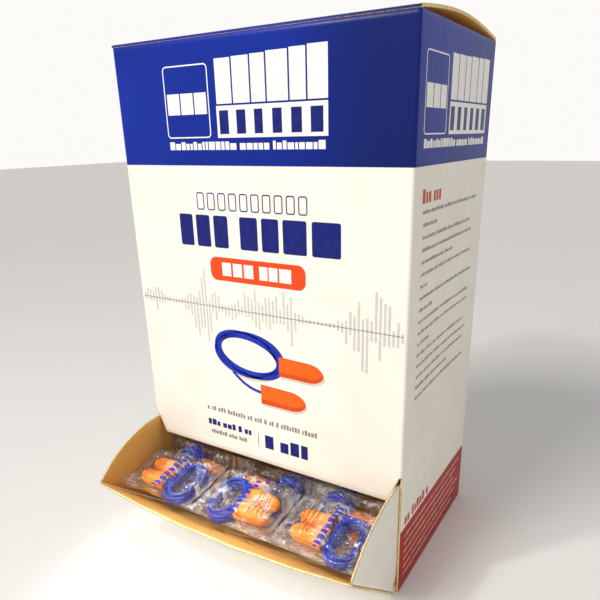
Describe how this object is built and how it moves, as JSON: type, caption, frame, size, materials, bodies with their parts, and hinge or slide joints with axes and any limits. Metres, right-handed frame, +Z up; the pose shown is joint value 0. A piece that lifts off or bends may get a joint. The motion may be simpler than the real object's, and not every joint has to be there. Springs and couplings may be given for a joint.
{
  "type": "ear plug dispenser carton",
  "caption": "Printed corrugated dispenser carton with a pull-down tray of film packets, each with corded bullet-shaped foam ear plugs.",
  "frame": {"origin": "middle of the footprint with the tray open, on the surface that the carton stands on", "axes": "+Z up, the printed front and the tray face -Y, +X to the right of someone facing the front"},
  "size_m": [0.2, 0.1946, 0.337],
  "materials": {
    "printed_board": "satin",
    "kraft_board": "matte",
    "clear_film": "gloss",
    "orange_foam": "matte",
    "blue_cord": "satin"
  },
  "bodies": {
    "carton": {"front_panel": "printed_board", "back_panel": "printed_board", "left_side_panel": "printed_board", "right_side_panel": "printed_board", "glue_tab": "kraft_board", "bottom_flap_front": "printed_board", "bottom_flap_back": "printed_board", "bottom_dust_flap_left": "kraft_board", "bottom_dust_flap_right": "kraft_board", "packet_7_pouch": "clear_film", "packet_7_plug_near": "orange_foam", "packet_7_plug_far": "orange_foam", "packet_7_cord_hank": "blue_cord", "packet_8_pouch": "clear_film", "packet_8_plug_near": "orange_foam", "packet_8_plug_far": "orange_foam", "packet_8_cord_hank": "blue_cord", "packet_9_pouch": "clear_film", "packet_9_plug_near": "orange_foam", "packet_9_plug_far": "orange_foam", "packet_9_cord_hank": "blue_cord", "packet_10_pouch": "clear_film", "packet_10_plug_near": "orange_foam", "packet_10_plug_far": "orange_foam", "packet_10_cord_hank": "blue_cord"},
    "lid": {"top_lid": "printed_board"},
    "tuck_tongue": {"lid_tuck_tongue": "printed_board"},
    "dust_flap_left": {"top_dust_flap_left": "kraft_board"},
    "dust_flap_right": {"top_dust_flap_right": "kraft_board"},
    "tray": {"tray_front_panel": "kraft_board", "tray_wing_left": "kraft_board", "tray_wing_right": "kraft_board", "packet_4_pouch": "clear_film", "packet_4_plug_near": "orange_foam", "packet_4_plug_far": "orange_foam", "packet_4_cord_hank": "blue_cord", "packet_5_pouch": "clear_film", "packet_5_plug_near": "orange_foam", "packet_5_plug_far": "orange_foam", "packet_5_cord_hank": "blue_cord", "packet_6_pouch": "clear_film", "packet_6_plug_near": "orange_foam", "packet_6_plug_far": "orange_foam", "packet_6_cord_hank": "blue_cord"},
    "packet_1": {"packet_1_pouch": "clear_film", "packet_1_plug_near": "orange_foam", "packet_1_plug_far": "orange_foam", "packet_1_cord_hank": "blue_cord"},
    "packet_2": {"packet_2_pouch": "clear_film", "packet_2_plug_near": "orange_foam", "packet_2_plug_far": "orange_foam", "packet_2_cord_hank": "blue_cord"},
    "packet_3": {"packet_3_pouch": "clear_film", "packet_3_plug_near": "orange_foam", "packet_3_plug_far": "orange_foam", "packet_3_cord_hank": "blue_cord"}
  },
  "joints": [
    {"name": "tray_tilt", "type": "hinge", "parent": "carton", "child": "tray", "pos_m": [0, -0.0345, 0], "axis": [1, 0, 0], "range_deg": [-48, 0]},
    {"name": "lid_open", "type": "hinge", "parent": "carton", "child": "lid", "pos_m": [0, -0.0327, 0.332], "axis": [1, 0, 0], "range_deg": [0, 195]},
    {"name": "tongue_fold", "type": "hinge", "parent": "lid", "child": "tuck_tongue", "pos_m": [0, 0.0933, 0.3302], "axis": [-1, 0, 0], "range_deg": [0, 45]},
    {"name": "dust_flap_left_fold", "type": "hinge", "parent": "carton", "child": "dust_flap_left", "pos_m": [-0.0982, 0.03, 0.3287], "axis": [0, 1, 0], "range_deg": [0, 85]},
    {"name": "dust_flap_right_fold", "type": "hinge", "parent": "carton", "child": "dust_flap_right", "pos_m": [0.0982, 0.03, 0.3287], "axis": [0, -1, 0], "range_deg": [0, 85]},
    {"name": "packet_1_lift_out", "type": "slide", "parent": "tray", "child": "packet_1", "axis": [0, -0.7431, 0.6691], "range_m": [0, 0.11]},
    {"name": "packet_2_lift_out", "type": "slide", "parent": "tray", "child": "packet_2", "axis": [0, -0.7431, 0.6691], "range_m": [0, 0.11]},
    {"name": "packet_3_lift_out", "type": "slide", "parent": "tray", "child": "packet_3", "axis": [0, -0.7431, 0.6691], "range_m": [0, 0.11]}
  ]
}
